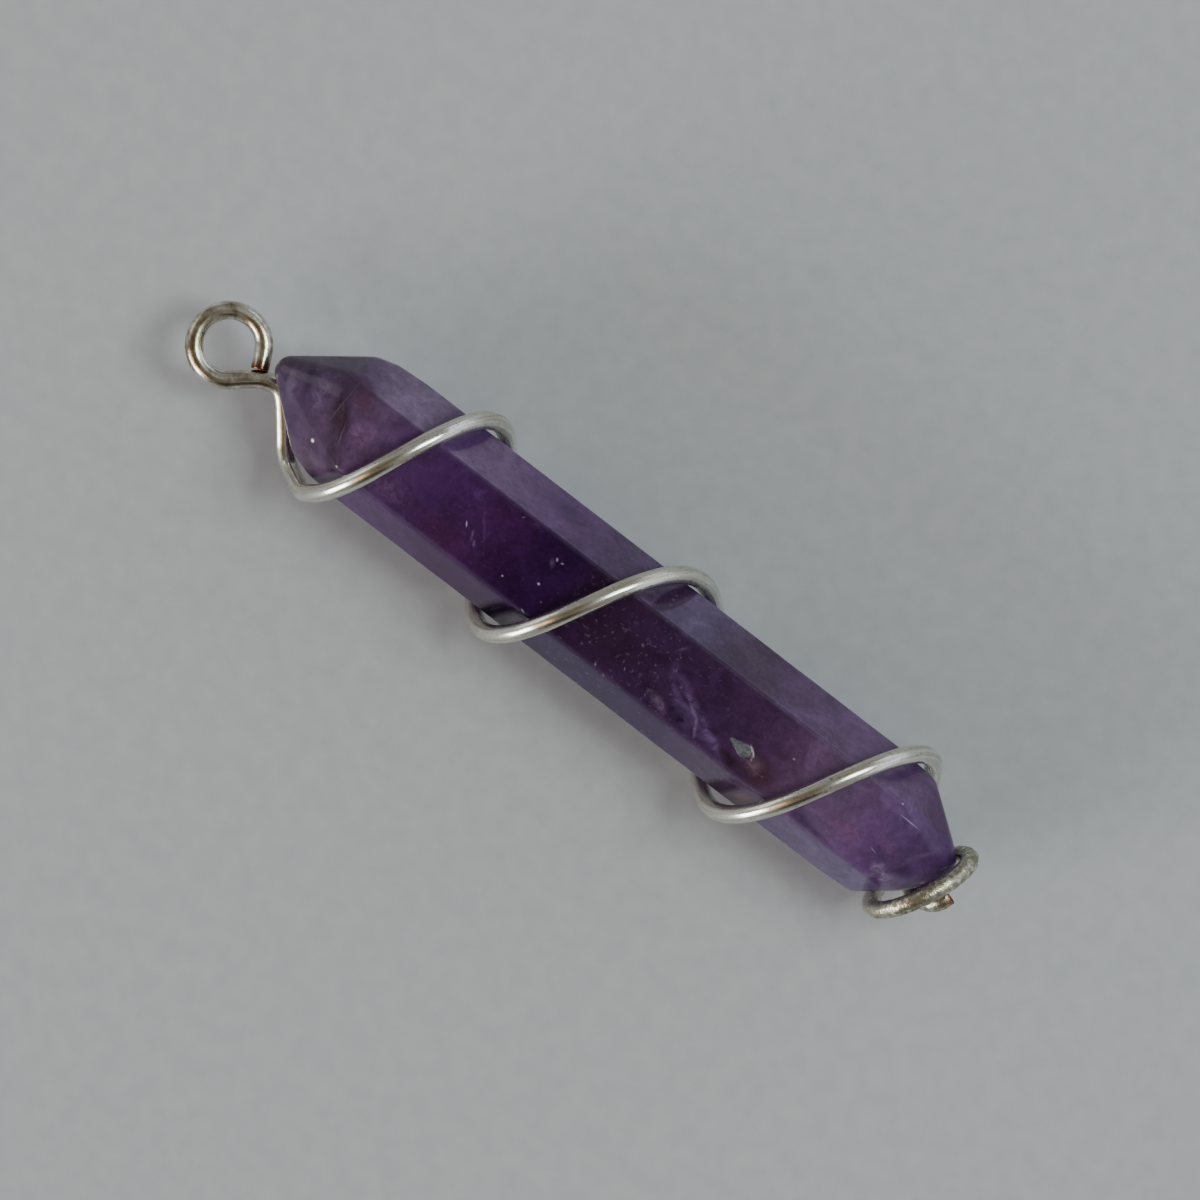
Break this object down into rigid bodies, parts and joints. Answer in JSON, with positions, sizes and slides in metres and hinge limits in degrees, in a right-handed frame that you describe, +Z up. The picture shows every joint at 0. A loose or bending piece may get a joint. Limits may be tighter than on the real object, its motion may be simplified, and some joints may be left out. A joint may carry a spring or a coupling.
{
  "type": "pendant",
  "caption": "Double-ended amethyst point held in a spiral cage of round silver-plated wire, with a round eye at its upper end for a jump ring, bail or cord.",
  "frame": {"origin": "centre of the outer box's underside, on the surface that the pendant lies on", "axes": "+X along the stone from the eye to the foot coil, +Y across it, +Z up from the surface"},
  "size_m": [0.0514, 0.0104, 0.0098],
  "materials": {
    "amethyst": "polished translucent violet quartz, nearly black along the middle and lilac at both ends",
    "silver_wire": "bright silver plate over copper, warm with brown tarnish, worn at the foot coil"
  },
  "bodies": {
    "root": {"amethyst_point": "amethyst", "wire_cage": "silver_wire"}
  },
  "joints": []
}
